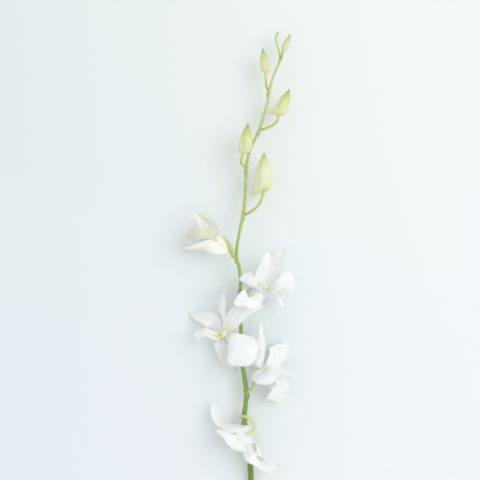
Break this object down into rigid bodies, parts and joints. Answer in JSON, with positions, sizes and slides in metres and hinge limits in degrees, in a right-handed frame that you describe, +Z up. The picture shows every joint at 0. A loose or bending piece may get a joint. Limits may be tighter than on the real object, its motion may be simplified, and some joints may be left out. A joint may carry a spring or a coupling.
{
  "type": "dendrobium orchid stem",
  "caption": "Cut spray of white dendrobium orchid lying on its side, with open flowers along the lower part of a bare green stem and pale closed buds towards its tip.",
  "frame": {"origin": "on the surface that the spray lies on, under the middle of its bounding box", "axes": "+Y along the stem from the cut end to the tip, +Z up from the surface, +X to the right of someone who looks down with the tip away from them"},
  "size_m": [0.0917, 0.4325, 0.0378],
  "materials": {
    "green_stem": "smooth waxy green skin, darker at the base, yellower to the tip, satin",
    "pale_stalk": "smooth pale yellow-green skin, satin",
    "cream_bud": "waxy cream-green, closed seams, green at base and tip, satin",
    "white_petal": "soft white, slightly translucent, fine veins lengthwise, matt with a faint sheen, green-tinged at the tips of the sepals",
    "white_lip": "white ruffled lip with a yellow-green throat, matt",
    "throat": "yellow-green at the foot, cream at the cap, satin",
    "dry_bract": "thin dry papery scale, tan, matt"
  },
  "bodies": {
    "root": {"stem": "green_stem", "flower_a_pedicel": "pale_stalk", "flower_a_column": "throat", "flower_a_dorsal_sepal": "white_petal", "flower_a_left_petal": "white_petal", "flower_a_right_petal": "white_petal", "flower_a_left_sepal": "white_petal", "flower_a_right_sepal": "white_petal", "flower_a_lip": "white_lip", "flower_a_bract": "dry_bract", "flower_b_pedicel": "pale_stalk", "flower_b_column": "throat", "flower_b_dorsal_sepal": "white_petal", "flower_b_left_petal": "white_petal", "flower_b_right_petal": "white_petal", "flower_b_left_sepal": "white_petal", "flower_b_right_sepal": "white_petal", "flower_b_lip": "white_lip", "flower_b_bract": "dry_bract", "flower_c_pedicel": "pale_stalk", "flower_c_column": "throat", "flower_c_dorsal_sepal": "white_petal", "flower_c_left_petal": "white_petal", "flower_c_right_petal": "white_petal", "flower_c_left_sepal": "white_petal", "flower_c_right_sepal": "white_petal", "flower_c_lip": "white_lip", "flower_c_bract": "dry_bract", "flower_d_pedicel": "pale_stalk", "flower_d_column": "throat", "flower_d_dorsal_sepal": "white_petal", "flower_d_left_petal": "white_petal", "flower_d_right_petal": "white_petal", "flower_d_left_sepal": "white_petal", "flower_d_right_sepal": "white_petal", "flower_d_lip": "white_lip", "flower_d_bract": "dry_bract", "flower_e_pedicel": "pale_stalk", "flower_e_column": "throat", "flower_e_dorsal_sepal": "white_petal", "flower_e_left_petal": "white_petal", "flower_e_right_petal": "white_petal", "flower_e_left_sepal": "white_petal", "flower_e_right_sepal": "white_petal", "flower_e_lip": "white_lip", "flower_e_bract": "dry_bract", "bud_1": "cream_bud", "bud_1_pedicel": "pale_stalk", "bud_2": "cream_bud", "bud_2_pedicel": "pale_stalk", "bud_2_bract": "dry_bract", "bud_3": "cream_bud", "bud_3_pedicel": "pale_stalk", "bud_3_bract": "dry_bract", "bud_4": "cream_bud", "bud_4_pedicel": "pale_stalk", "bud_4_bract": "dry_bract", "bud_5": "cream_bud", "bud_5_pedicel": "pale_stalk", "bud_5_bract": "dry_bract"}
  },
  "joints": []
}
